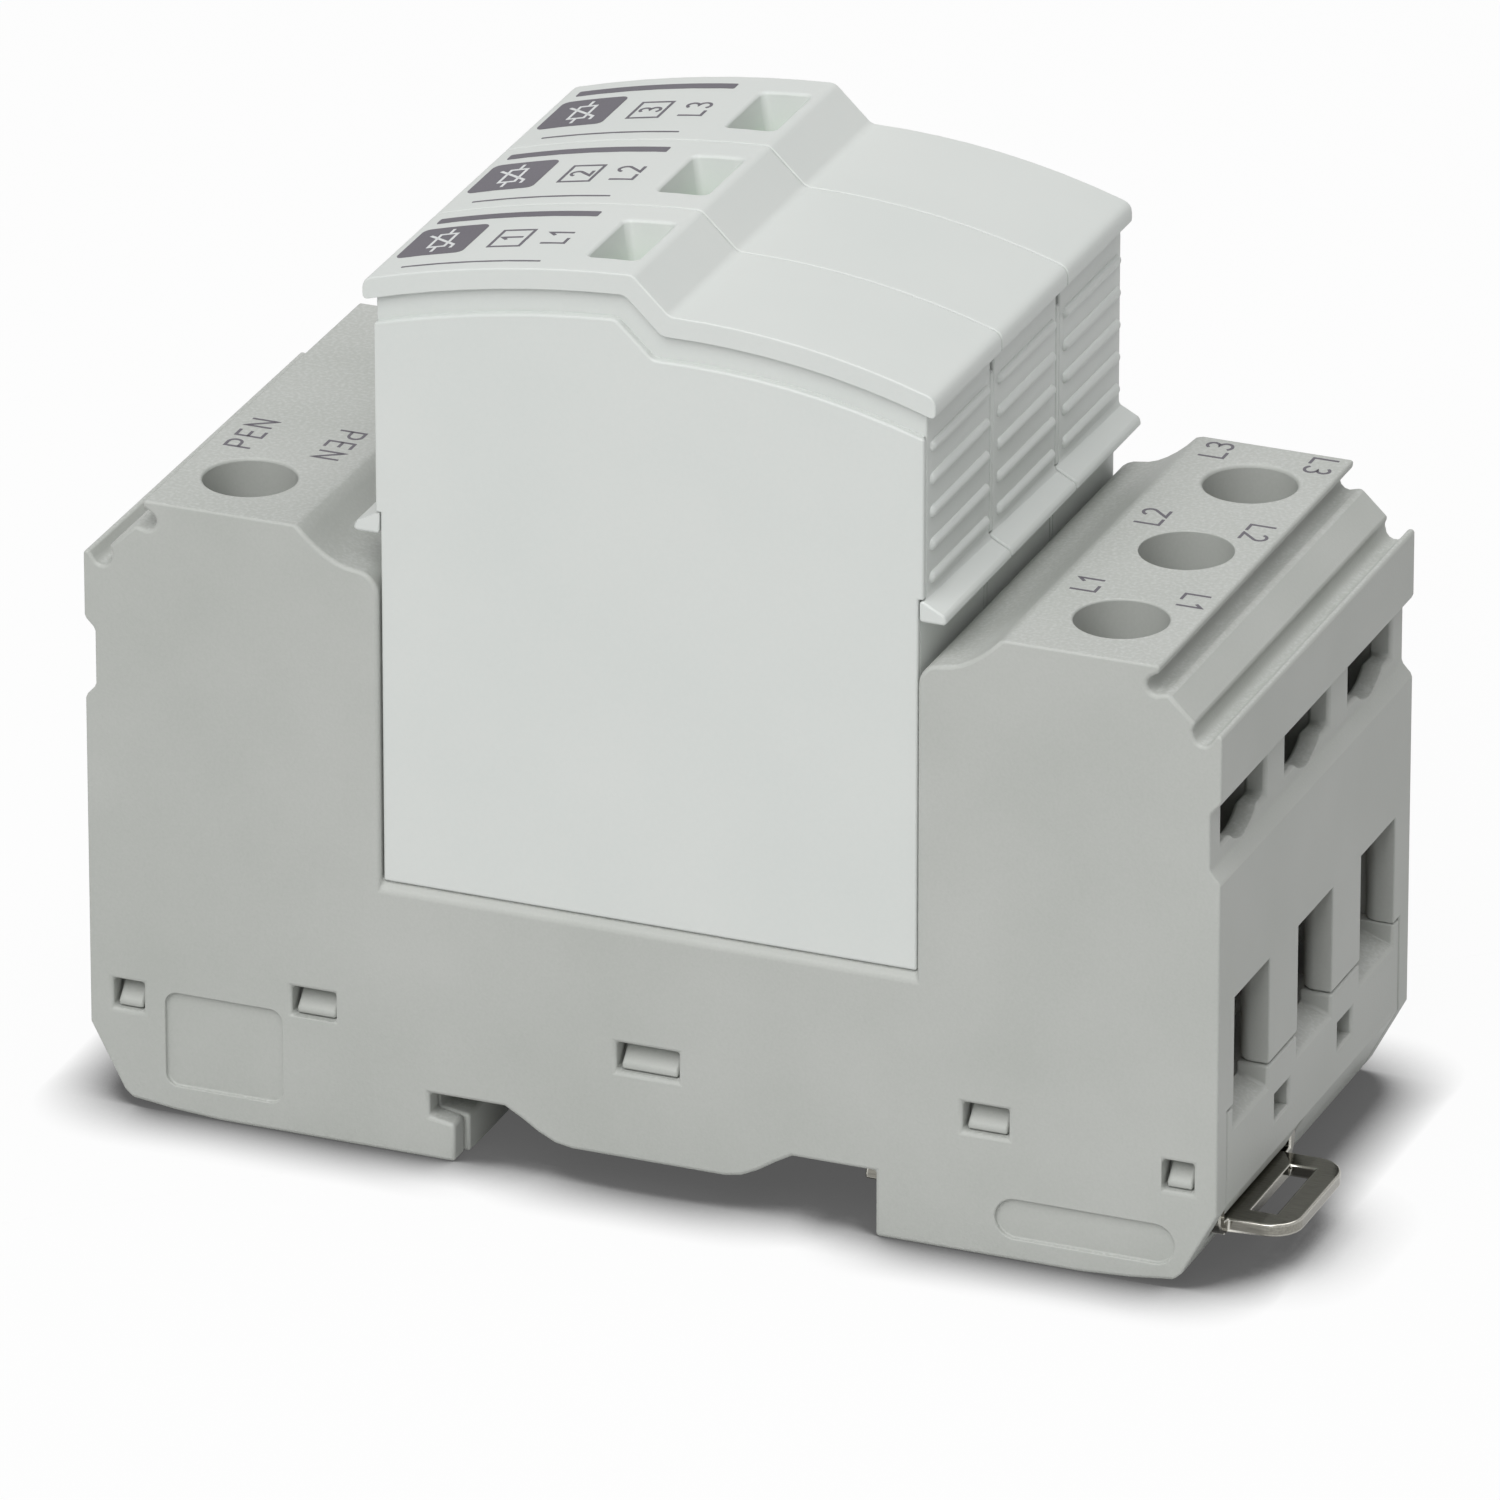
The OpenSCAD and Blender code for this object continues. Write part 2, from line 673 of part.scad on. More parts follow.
// Rising clamp: the screw pulls it up against the strip
module clamp_cage(t) {
    bottom = cage_floor - cage_floor_t;
    color(steel) on_side(t[0]) translate([screw_x, pole_y(t[1]), 0]) difference() {
        block([-cage_l / 2, -cage_out / 2, bottom], [cage_l / 2, cage_out / 2, cage_plate + cage_plate_t]);
        block([-cage_l, -cage_in / 2, cage_floor], [cage_l, cage_in / 2, cage_plate]);
        translate([0, 0, cage_plate - over]) cylinder(d = screw_d, h = cage_plate_t + 2 * over, $fn = 64);
    }
}

// Outline of the plug case below its cap, with the ledges above the shoulders
module case_outline() {
    side = [[body_half, bay_floor], [body_half, ledge_top], [upper_half, ledge_top]];
    polygon(concat(side, reversed(crown_line(upper_half, cap_t - eps)), mirrored(side)));
}

// Ledge that covers the gap to the shoulder
module ledge_outline() {
    from = body_half + panel_play;
    polygon([[from, ledge_z], [ledge_out - 0.2, ledge_z], [ledge_out, ledge_z + 0.2],
             [ledge_out - 0.1, ledge_z + ledge_t], [upper_half, ledge_top], [from, ledge_top]]);
}

// Rounded end of the cap's lip, from its upper to its lower line
// side is 1 or -1, and top is the height of the lip's corner
function lip_end(side, top, upper, lower) =
    let (x = side * cap_half)
    concat(bend([x - side * lip_r, upper], [x, top], [x, top - lip_r], 1, 4),
           bend([x, top - cap_t + lip_edge_r], [x, top - cap_t], [x - side * lip_edge_r, lower], 0, 3));

module cap_outline() {
    upper = cap_half - lip_r;
    lower = cap_half - lip_edge_r;
    polygon(concat(
        crown_line(upper, 0),
        lip_end(1, crown_low(cap_half), crown_low(upper), crown_low(lower) - cap_t),
        reversed(crown_line(lower, cap_t)),
        reversed(lip_end(-1, crown(-cap_half), crown(-upper), crown(-lower) - cap_t))));
}

module cavity_outline() {
    polygon(concat([[cavity_half, case_floor]], reversed(crown_line(cavity_half, roof_drop)),
                   [[-cavity_half, case_floor]]));
}

// Side panel of a plug, which widens above the ledge
module panel_outline() {
    widening = ledge_top + panel_play;
    side = [[body_half, bay_floor], [body_half, widening], [upper_half, widening]];
    polygon(concat(side, reversed(crown_line(upper_half, cap_t + band_h)), mirrored(side)));
}

// Opening that the panel closes, set in from its lower part
module panel_opening(inset) {
    polygon(concat([[body_half - inset, bay_floor + inset]],
                   reversed(crown_line(body_half - inset, cap_t + band_h + inset)),
                   [[-body_half + inset, bay_floor + inset]]));
}

// Outline of the status window's well, grown by spread on every side
module window_outline(spread) {
    rounded_plate(window_l + 2 * spread, window_w + 2 * spread, window_corner_r);
}

// Tapered well of the status window
module window_well() {
    low = window_top - window_depth - eps;
    flare = window_taper * over / window_depth;
    translate([window_x, 0, 0]) hull() {
        translate([0, 0, low]) linear_extrude(eps) window_outline(-window_taper);
        translate([0, 0, window_top + over]) linear_extrude(eps) window_outline(flare);
    }
}

// Gripping ribs: half-round bars with a ball at both ends
module grips() {
    for (s = [-1, 1]) for (i = [0 : grip_ribs - 1])
        translate([s * (upper_half - grip_sink), 0, grip_first + i * grip_pitch]) {
            translate([0, grip_to, 0]) rotate([90, 0, 0])
                cylinder(r = grip_r, h = grip_to - grip_from, $fn = 32);
            for (y = [grip_from, grip_to]) translate([0, y, 0]) sphere(grip_r, $fn = 32);
        }
}

module plug_case(n) {
    body_w = plug_w - panel_t;
    cavity_w = back_y - rim_y - case_wall;
    color(plug_grey) translate([0, pole_y(n), 0]) difference() {
        union() {
            difference() {
                translate([0, panel_t / 2, 0]) along_y(body_w) case_outline();
                translate([0, back_y - cavity_w / 2, 0]) along_y(cavity_w) cavity_outline();
                translate([0, rim_y + case_wall / 2, 0])
                    along_y(case_wall + 2 * eps) panel_opening(case_wall + 0.1);
            }
            along_y(plug_w) cap_outline();
            for (s = [-1, 1]) on_side(s) along_y(plug_w) ledge_outline();
            block([window_x - window_l / 2 - 1.2, -window_w / 2 - 1.2, window_top - window_depth],
                  [window_x + window_l / 2 + 1, window_w / 2 + 1.2, window_top - cap_t]);
            block([-shelf_l / 2, -back_y + shelf_h, varistor_z - shelf_h],
                  [shelf_l / 2, back_y + eps, varistor_z]);
            grips();
        }
        window_well();
        for (s = [-1, 1])
            translate([s * blade_x, 0, bay_floor])
                cube([blade_w + 2 * blade_play, blade_t + 2 * blade_play, 4 * case_wall], center = true);
    }
}

module plug_cover(n) {
    inner_t = 0.8;
    color(plug_grey) translate([0, pole_y(n) + rim_y, 0]) {
        translate([0, -panel_t / 2, 0]) along_y(panel_t) panel_outline();
        translate([0, inner_t / 2 - eps, 0])
            along_y(inner_t + 2 * eps) panel_opening(case_wall + panel_play + 0.1);
    }
}

module varistor(n) {
    color("#3F5E8C") translate([0, pole_y(n), 0])
        block([-varistor_l / 2, varistor_front, varistor_z],
              [varistor_l / 2, varistor_back, varistor_z + varistor_h]);
}

// Blade with a pointed tip
module blade() {
    tip = bay_floor - blade_reach;
    along_x(-blade_w / 2, blade_w) polygon([
        [-blade_t / 2, tip + blade_point], [-blade_t / 4, tip],
        [blade_t / 4, tip], [blade_t / 2, tip + blade_point],
        [blade_t / 2, blade_top], [-blade_t / 2, blade_top]]);
}

module line_blade(n) {
    color(copper) translate([blade_x, pole_y(n), 0]) {
        blade();
        block([-tag_w / 2, -blade_t / 2, blade_top - eps], [tag_w / 2, blade_t / 2, tag_top]);
    }
}

module pen_blade(n) {
    color(copper) translate([-blade_x, pole_y(n), 0]) {
        blade();
        block([-tag_w / 2, -blade_t / 2, blade_top - eps], [tag_w / 2, back_y, blade_top + tag_t]);
        block([-tag_w / 2, varistor_back, blade_top], [tag_w / 2, back_y, tag_top]);
    }
}

module indicator_tray(n) {
    right = window_x + flag_l / 2 + 0.3;
    color("#B5262B") translate([0, pole_y(n), 0]) {
        block([right - tray_l, near_in + flag_play, tray_top - tray_t], [right, back_y, tray_top]);
        block([right - tray_l, -flag_spring_d, tray_top - eps],
              [right - tray_l + post_t, flag_spring_d, tray_top + post_h]);
    }
}

module status_slider(n) {
    color("#4FA84A") translate([window_x, pole_y(n), 0])
        block([-flag_l / 2, near_in + 2 * flag_play, flag_top - flag_t],
              [flag_l / 2, back_y - flag_play, flag_top]);
}

module flag_spring(n) {
    from = window_x + flag_l / 2 + 0.3 - tray_l + post_t;
    to = window_x - flag_l / 2;
    color(steel) translate([from, pole_y(n), tray_top + flag_spring_d / 2 + 0.05])
        coil(to - from, flag_spring_d, flag_wire, 6);
}

housing();
bottom_cover();
rail_latch();
latch_spring();
pen_busbar();
terminal_screw(terminals[3]);  // terminal_screw_pen
clamp_cage(terminals[3]);  // clamp_cage_pen
for (n = poles) {
    line_contact(n);
    terminal_screw(terminals[n]);
    clamp_cage(terminals[n]);
    plug_case(n);
    plug_cover(n);
    varistor(n);
    line_blade(n);
    pen_blade(n);
    indicator_tray(n);
    status_slider(n);
    flag_spring(n);
}
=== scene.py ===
"""Looks of a surge arrester for a mounting rail: a grey terminal base with three light grey plugs.

Lengths are in millimetres where no comment says metres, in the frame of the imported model. MM turns them into
metres.
"""
import json
import math

import bmesh
import bpy
import numpy as np
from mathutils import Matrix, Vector
from mathutils.bvhtree import BVHTree
from mathutils.geometry import intersect_point_line


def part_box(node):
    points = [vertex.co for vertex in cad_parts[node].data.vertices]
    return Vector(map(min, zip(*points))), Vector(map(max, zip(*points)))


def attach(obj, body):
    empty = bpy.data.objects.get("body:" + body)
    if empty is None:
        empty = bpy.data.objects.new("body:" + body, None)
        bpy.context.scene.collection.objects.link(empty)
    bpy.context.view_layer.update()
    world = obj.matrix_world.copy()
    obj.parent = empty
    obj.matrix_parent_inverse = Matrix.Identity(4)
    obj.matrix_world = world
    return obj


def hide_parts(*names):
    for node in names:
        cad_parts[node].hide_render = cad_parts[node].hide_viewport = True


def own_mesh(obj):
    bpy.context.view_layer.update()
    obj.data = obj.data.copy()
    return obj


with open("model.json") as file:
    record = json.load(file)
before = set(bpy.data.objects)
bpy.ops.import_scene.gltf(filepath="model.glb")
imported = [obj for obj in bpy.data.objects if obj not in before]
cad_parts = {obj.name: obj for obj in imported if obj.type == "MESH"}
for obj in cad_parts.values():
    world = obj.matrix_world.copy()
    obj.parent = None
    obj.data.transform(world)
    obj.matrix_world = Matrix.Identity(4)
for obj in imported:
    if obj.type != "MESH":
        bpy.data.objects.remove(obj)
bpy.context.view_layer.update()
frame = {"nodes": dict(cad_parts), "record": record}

MM = 0.001
# Shortest length in metres that counts as more than none
TINY = 1e-9
POLES = (1, 2, 3)
POLE_PITCH = 13.33
SHOULDER_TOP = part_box("housing")[1].z / MM
# Height of the floor under the feet, in metres
FLOOR_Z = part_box("housing")[0].z

# Crown of a plug: an arc in the x-z plane over the half that carries the window and the print.
# That half ends before the arc reaches its top.
CROWN_TOP = 68.5
CROWN_RADIUS = 87.0
CROWN_X = 2.7


def pole_y(pole):
    """Middle of a pole across the base."""
    return (pole - 2) * POLE_PITCH


def crown(x):
    """Height of the crown over its length: a circle of CROWN_RADIUS whose top lies at CROWN_X."""
    return CROWN_TOP - CROWN_RADIUS + np.sqrt(CROWN_RADIUS ** 2 - (x - CROWN_X) ** 2)


def plateau(x):
    """Height of the flat shoulders, the same all over."""
    return np.full_like(x, SHOULDER_TOP)


def new_object(name, data):
    """An object with this data, in the scene."""
    piece = bpy.data.objects.new(name, data)
    bpy.context.scene.collection.objects.link(piece)
    return piece


# Materials
def linear(code):
    """Linear RGBA of an sRGB hex colour."""
    srgb = np.array([int(code[i:i + 2], 16) / 255 for i in (1, 3, 5)])
    rgb = np.where(srgb <= 0.04045, srgb / 12.92, ((srgb + 0.055) / 1.055) ** 2.4)
    return (*rgb.tolist(), 1.0)


def add(tree, kind, settings=None, inputs=None):
    """Adds one node: settings are its own properties, and inputs are values or the outputs to link."""
    node = tree.nodes.new(kind)
    for name, value in (settings or {}).items():
        setattr(node, name, value)
    for name, value in (inputs or {}).items():
        if isinstance(value, bpy.types.NodeSocket):
            tree.links.new(value, node.inputs[name])
        else:
            node.inputs[name].default_value = value
    return node


def new_material(name):
    """An empty node material with its tree and its object coordinates."""
    material = bpy.data.materials.new(name)
    material.use_nodes = True
    tree = material.node_tree
    tree.nodes.clear()
    return material, tree, add(tree, "ShaderNodeTexCoord").outputs["Object"]


def per_mm(size):
    """Texture scale that gives blotches about size millimetres across."""
    return 1 / (size * MM)


# A noise lies mostly in this part of its range from 0 to 1
NOISE_LOW = 0.35
NOISE_HIGH = 0.65
# Clouds of a melt, the share of the tool's grain that is added to them, and where the sum of both lies
CLOUD_MM = 14.0
GRAIN_SHARE = 0.55
SUM_LOW = 0.5
SUM_HIGH = 1.05
# Painted glints: bright specks of painted highlight, drawn coarser than the real 0.1 mm grain so that they
# show in the render
GLINT_SPECK_MM = 0.3
GLINT_COLOUR = "#F2F3F4"
GLINT_SPECK_LOW = 0.42
GLINT_SPECK_HIGH = 0.72
# Upward part of a face's normal where the painted glints begin, and where all of them show
UPWARD_LOW = 0.7
UPWARD_HIGH = 0.95
# Refraction of a plastic, and how much its roughness varies to both sides
PLASTIC_IOR = 1.5
PLASTIC_SPREAD = 0.06
# How far the painted highlight on the edges of a plated sheet reaches in, and how far the two normals agree on
# the edge itself
EDGE_HIGHLIGHT_MM = 0.22
EDGE_HIGHLIGHT_AGREE = 0.93
# Depth of the rolling lines, and how much smoother and rougher the metal is in them
ROLLING_DEPTH_MM = 0.004
METAL_SMOOTHER = 0.05
METAL_ROUGHER = 0.07


def moulded_plastic(name, dark, light, roughness, grain, depth, painted_glint=0.0):
    """Moulded thermoplastic: an eroded tool leaves a fine even grain, and the melt is faintly cloudy.

    Faces that point up get bright specks mixed into their colour, a painted highlight of glints, where the
    last argument is above zero.
    """
    material, tree, place = new_material(name)
    cloud = add(tree, "ShaderNodeTexNoise", inputs={"Vector": place, "Scale": per_mm(CLOUD_MM)})
    fine = add(tree, "ShaderNodeTexNoise", inputs={"Vector": place, "Scale": per_mm(grain), "Detail": 3.0})
    both = add(tree, "ShaderNodeMath", {"operation": "MULTIPLY_ADD"},
               {0: fine.outputs["Fac"], 1: GRAIN_SHARE, 2: cloud.outputs["Fac"]})
    shade = add(tree, "ShaderNodeMapRange", inputs={
        "Value": both.outputs["Value"], "From Min": SUM_LOW, "From Max": SUM_HIGH})
    colour = add(tree, "ShaderNodeMix", {"data_type": "RGBA"}, {
        "Factor": shade.outputs["Result"], "A": linear(dark), "B": linear(light)})
    if painted_glint:
        # Painted highlight: near-white specks mixed into the colour of faces that point up
        surface = add(tree, "ShaderNodeNewGeometry")
        facing = add(tree, "ShaderNodeSeparateXYZ", inputs={0: surface.outputs["Normal"]})
        upward = add(tree, "ShaderNodeMapRange", inputs={
            "Value": facing.outputs["Z"], "From Min": UPWARD_LOW, "From Max": UPWARD_HIGH,
            "To Min": 0.0, "To Max": painted_glint})
        glint_noise = add(tree, "ShaderNodeTexNoise", inputs={
            "Vector": place, "Scale": per_mm(GLINT_SPECK_MM), "Detail": 1.0})
        bright = add(tree, "ShaderNodeMapRange", inputs={
            "Value": glint_noise.outputs["Fac"], "From Min": GLINT_SPECK_LOW, "From Max": GLINT_SPECK_HIGH})
        glint = add(tree, "ShaderNodeMath", {"operation": "MULTIPLY"},
                    {0: bright.outputs["Result"], 1: upward.outputs["Result"]})
        colour = add(tree, "ShaderNodeMix", {"data_type": "RGBA"}, {
            "Factor": glint.outputs["Value"], "A": colour.outputs["Result"], "B": linear(GLINT_COLOUR)})
    sheen = add(tree, "ShaderNodeMapRange", inputs={
        "Value": fine.outputs["Fac"], "From Min": NOISE_LOW, "From Max": NOISE_HIGH,
        "To Min": roughness - PLASTIC_SPREAD, "To Max": roughness + PLASTIC_SPREAD})
    relief = add(tree, "ShaderNodeBump", inputs={"Height": fine.outputs["Fac"], "Distance": depth * MM})
    shader = add(tree, "ShaderNodeBsdfPrincipled", inputs={
        "Base Color": colour.outputs["Result"], "Roughness": sheen.outputs["Result"], "IOR": PLASTIC_IOR,
        "Normal": relief.outputs["Normal"]})
    add(tree, "ShaderNodeOutputMaterial", inputs={"Surface": shader.outputs["BSDF"]})
    return material


def sheet_metal(name, dark, light, roughness, grain, stretch, edge=None):
    """Bare or plated metal: rolling draws faint lines along X, stretch times as long as they are wide.

    Where edge is a colour, the edges are painted in it: a painted highlight. They are where the normal of the
    surface, with its edges rounded, turns away from the surface's own normal.
    """
    material, tree, place = new_material(name)
    drawn = add(tree, "ShaderNodeMapping", inputs={"Vector": place, "Scale": (1 / stretch, 1.0, 1.0)})
    lines = add(tree, "ShaderNodeTexNoise", inputs={
        "Vector": drawn.outputs["Vector"], "Scale": per_mm(grain), "Detail": 3.0})
    shade = add(tree, "ShaderNodeMapRange", inputs={
        "Value": lines.outputs["Fac"], "From Min": NOISE_LOW, "From Max": NOISE_HIGH})
    colour = add(tree, "ShaderNodeMix", {"data_type": "RGBA"}, {
        "Factor": shade.outputs["Result"], "A": linear(dark), "B": linear(light)})
    if edge:
        # Painted highlight: the rounded edges are mixed towards the edge colour
        round_edge = add(tree, "ShaderNodeBevel", {"samples": 6}, {"Radius": EDGE_HIGHLIGHT_MM * MM})
        own = add(tree, "ShaderNodeNewGeometry")
        agree = add(tree, "ShaderNodeVectorMath", {"operation": "DOT_PRODUCT"},
                    {0: round_edge.outputs["Normal"], 1: own.outputs["True Normal"]})
        highlight_rim = add(tree, "ShaderNodeMapRange", inputs={
            "Value": agree.outputs["Value"], "From Min": 1.0, "From Max": EDGE_HIGHLIGHT_AGREE,
            "To Min": 0.0, "To Max": 1.0})
        colour = add(tree, "ShaderNodeMix", {"data_type": "RGBA"}, {
            "Factor": highlight_rim.outputs["Result"], "A": colour.outputs["Result"], "B": linear(edge)})
    sheen = add(tree, "ShaderNodeMapRange", inputs={
        "Value": lines.outputs["Fac"], "From Min": NOISE_LOW, "From Max": NOISE_HIGH,
        "To Min": roughness - METAL_SMOOTHER, "To Max": roughness + METAL_ROUGHER})
    relief = add(tree, "ShaderNodeBump", inputs={
        "Height": lines.outputs["Fac"], "Distance": ROLLING_DEPTH_MM * MM})
    shader = add(tree, "ShaderNodeBsdfPrincipled", inputs={
        "Base Color": colour.outputs["Result"], "Metallic": 1.0, "Roughness": sheen.outputs["Result"],
        "Normal": relief.outputs["Normal"]})
    add(tree, "ShaderNodeOutputMaterial", inputs={"Surface": shader.outputs["BSDF"]})
    return material


FINISHES = {
    # Flame-retarded PBT, spark-eroded grain: dull and even, with painted glints on the faces that point up
    "base_plastic": moulded_plastic("moulded_pbt_grey", "#AEB1AC", "#B8BAB6",
                                    roughness=0.52, grain=0.22, depth=0.012, painted_glint=0.16),
    # Lighter PBT from a smoother tool: a soft sheen along the edges
    "plug_plastic": moulded_plastic("moulded_pbt_light_grey", "#D0D4D1", "#D4D7D4",
                                    roughness=0.42, grain=0.3, depth=0.004),
    # Nickel-plated spring sheet: faint rolling lines, and a painted highlight on the edges
    "latch_steel": sheet_metal("nickel_plated_sheet", "#7E7C75", "#918F87",
                               roughness=0.1, grain=0.12, stretch=12.0, edge="#E4E2DA"),
    # Drawn spring wire: grey with a soft gloss
    "spring_steel": sheet_metal("drawn_spring_wire", "#8E8F8E", "#A9AAA8",
                                roughness=0.3, grain=0.1, stretch=6.0),
    # Bare copper strip: reddish, with rolling lines
    "copper": sheet_metal("bare_copper_strip", "#B87A52", "#CB9068",
                          roughness=0.33, grain=0.15, stretch=10.0),
    # Zinc-plated screws and cages: pale, with short faint streaks
    "clamp_steel": sheet_metal("zinc_plated_steel", "#9EA09C", "#B4B6B2",
                               roughness=0.36, grain=0.2, stretch=3.0),
    # Varistor block dipped in epoxy: blue, softly glossy and a little uneven
    "varistor_ceramic": moulded_plastic("dipped_epoxy_blue", "#39547E", "#44638F",
                                        roughness=0.35, grain=0.9, depth=0.02),
    # Green flag and red tray behind the status window: bright, with a satin face
    "flag_green": moulded_plastic("moulded_green_flag", "#4A9C45", "#55AD50",
                                  roughness=0.45, grain=0.25, depth=0.006),
    "tray_red": moulded_plastic("moulded_red_tray", "#AE2429", "#BC2C30",
                                roughness=0.45, grain=0.25, depth=0.006),
}
# Pad-printed inks: thin dull films, a little uneven
INK = moulded_plastic("pad_printed_grey_ink", "#5E5B62", "#6A676E",
                      roughness=0.6, grain=0.12, depth=0.003)
PALE_INK = moulded_plastic("pad_printed_white_ink", "#D8DADA", "#E0E2E2",
                           roughness=0.6, grain=0.12, depth=0.003)

slot_of = {part["node"]: part["material_slot"] for part in frame["record"]["subparts"]}
body_of = {node: body for body, nodes in frame["record"]["behaviour"]["bodies"].items() for node in nodes}


# Pieces that replace moulded and bent nodes, with their edges rounded.
# Points closer than this are joined, and faces that meet at less than this angle become one
MERGE_MM = 0.045
FLAT_ANGLE = math.radians(0.7)
# Edges that bend more than this are rounded, and two that turn less than this run on as one
SHARP_ANGLE = math.radians(32)
STRAIGHT_ANGLE = math.radians(30)
# Steps of a rounding, and the width below which it is left out
SEGMENTS = 3
THINNEST_MM = 0.04
# Room for an edge that no other one faces, and how far past its ends another one still does, in metres
FREE_ROOM = 1.0
FACING = 1e-5
# A rounding takes at most these shares of the room across a face, and of a side's length from both its ends
ROOM_SHARE = 0.42
SIDE_SHARE = 0.8
# Sine of the turn below which an outline runs straight on
STRAIGHT_SINE = 0.03
# Widths shrink by these factors where a side is used up, and where a place is spoilt, so many times at most
SHRINK = 0.8
ROUNDS = 80
REPAIR_SHRINK = 0.6
REPAIRS = 8
REPAIR_REACH_MM = 1.0
# A face is spoilt where it has turned over against its own plane, or still lies in it and crosses itself
TURNED_OVER = -0.5
STILL_FLAT = 0.99
CROSSING_MM = 0.002
# Lines of sight start this far off an edge, towards the corners, edges and faces of a cube
LIFT_MM = 0.05
STEPS = (-1, 0, 1)
AROUND = [Vector((x, y, z)).normalized() for x in STEPS for y in STEPS for z in STEPS if x or y or z]


def room_for(edge, sharp):
    """How far the other sharp edges of its faces stay from an edge, straight across from it, in metres.

    Each other edge is cut to the stretch beside this one, and the ends of what is left are measured.
    """
    start, end = np.array(edge.verts[0].co), np.array(edge.verts[1].co)
    length = np.linalg.norm(end - start)
    along = (end - start) / max(length, TINY)
    nearest = FREE_ROOM
    for face in edge.link_faces:
        others = [e for e in face.edges if e in sharp and not set(e.verts) & set(edge.verts)]
        if not others:
            continue
        ends = np.array([[e.verts[0].co, e.verts[1].co] for e in others]) - start
        place = ends @ along
        span = place[:, 1] - place[:, 0]
        safe = np.where(np.abs(span) < TINY, TINY, span)
        clipped = np.clip((np.clip(place, 0, length) - place[:, :1]) / safe[:, None], 0, 1)
        points = ends[:, :1] + clipped[..., None] * (ends[:, 1:] - ends[:, :1])
        over = points @ along
        across = np.linalg.norm(points - over[..., None] * along, axis=-1)
        facing = (over > -FACING) & (over < length + FACING)
        if facing.any():
            nearest = min(nearest, across[facing].min())
    return nearest


def walls_of(body):
    """Search tree of all the faces of a body's nodes."""
    points = []
    faces = []
    for node in frame["record"]["behaviour"]["bodies"][body]:
        mesh = frame["nodes"][node].data
        start = len(points)
        points += [vert.co.copy() for vert in mesh.vertices]
        faces += [[start + i for i in face.vertices] for face in mesh.polygons]
    return BVHTree.FromPolygons(points, faces)


def seen(edge, walls):
    """Whether a straight line leads away from an edge to the outside, past all the pieces of its body."""
    outward = (edge.link_faces[0].normal + edge.link_faces[1].normal).normalized()
    start = (edge.verts[0].co + edge.verts[1].co) / 2 + outward * LIFT_MM * MM
    return any(walls.ray_cast(start, way)[0] is None for way in AROUND)


def turn_at(loop):
    """Angle by which a face's outline turns at a corner, less than zero where it turns outwards."""
    turn = math.pi - loop.calc_angle()
    return turn if loop.is_convex else -turn


def slide(before, own, turn):
    """How far a corner moves along a side set back by own, where the side next to it is set back by before.

    The two set-back lines meet at (before - own cos turn) / sin turn from the old corner.
    """
    if abs(math.sin(turn)) < STRAIGHT_SINE:
        return 0.0
    return (before - own * math.cos(turn)) / math.sin(turn)


def straight_runs(shape, sharp):
    """Groups of sharp edges that run on almost straight past points where no third one meets them."""
    run_of = {e: [e] for e in sharp}
    for vert in shape.verts:
        pair = [e for e in vert.link_edges if e in sharp]
        if len(pair) != 2 or run_of[pair[0]] is run_of[pair[1]]:
            continue
        first, last = (e.other_vert(vert).co - vert.co for e in pair)
        if first.angle(-last) < STRAIGHT_ANGLE:
            joined = run_of[pair[0]] + run_of[pair[1]]
            run_of.update(dict.fromkeys(joined, joined))
    return list({id(run): run for run in run_of.values()}.values())


def edge_widths(shape, radius, sharp, runs):
    """Width to round each sharp edge by: the radius, made less until no side of a face is used up by it.

    Edges that run on almost straight keep one width, so that the rounding has no steps. All is in metres.
    """
    width = {e: min(radius, ROOM_SHARE * room_for(e, sharp)) for e in sharp}
    sides = []
    for face in shape.faces:
        for loop in face.loops:
            trio = (loop.link_loop_prev.edge, loop.edge, loop.link_loop_next.edge)
            sides.append((trio, loop.edge.calc_length(), turn_at(loop), turn_at(loop.link_loop_next)))
    for _ in range(ROUNDS):
        tight = set()
        for trio, length, first, last in sides:
            before, own, after = (width.get(e, 0.0) for e in trio)
            if slide(before, own, first) + slide(after, own, last) > SIDE_SHARE * length:
                tight.update(trio)
        for edge in tight & sharp:
            width[edge] *= SHRINK
        for run in runs:
            width.update(dict.fromkeys(run, min(width[e] for e in run)))
        if not tight:
            break
    return width


def crossings(points, flat):
    """Points in space where an outline crosses itself; flat holds the same outline on its plane.

    Two sides cross where the ends of each lie on both sides of the other. The share along one of them is how
    far its first end lies off the other, over how far its two ends lie apart across it.
    """
    step = np.roll(flat, -1, axis=0) - flat
    length = np.maximum(np.linalg.norm(step, axis=1), TINY)
    apart = flat[None] - flat[:, None]
    off = (step[:, None, 0] * apart[..., 1] - step[:, None, 1] * apart[..., 0]) / length[:, None]
    off_next = np.roll(off, -1, axis=1)
    parted = (np.minimum(off, off_next) < -CROSSING_MM * MM) & (np.maximum(off, off_next) > CROSSING_MM * MM)
    other, side = np.nonzero(parted & parted.T)
    share = off[other, side] / (off[other, side] - off_next[other, side])
    return points[side] + share[:, None] * (np.roll(points, -1, axis=0)[side] - points[side])


def spoilt_places(piece):
    """Places that the rounding spoils, each with its face, which turns over there or crosses itself."""
    whole = piece.evaluated_get(bpy.context.evaluated_depsgraph_get())
    mesh = whole.to_mesh()
    points = np.array([vert.co for vert in mesh.vertices])
    home = mesh.attributes["home"].data
    places = []
    for face in mesh.polygons:
        own = piece.data.polygons[home[face.index].value]
        agree = own.normal.dot(face.normal)
        corners = points[face.vertices]
        if agree < TURNED_OVER:
            places += [(own, corner) for corner in corners]
        elif agree > STILL_FLAT and len(corners) > 3:
            flat = np.delete(corners, np.argmax(np.abs(own.normal)), axis=1)
            places += [(own, point) for point in crossings(corners, flat)]
    whole.to_mesh_clear()
    return places


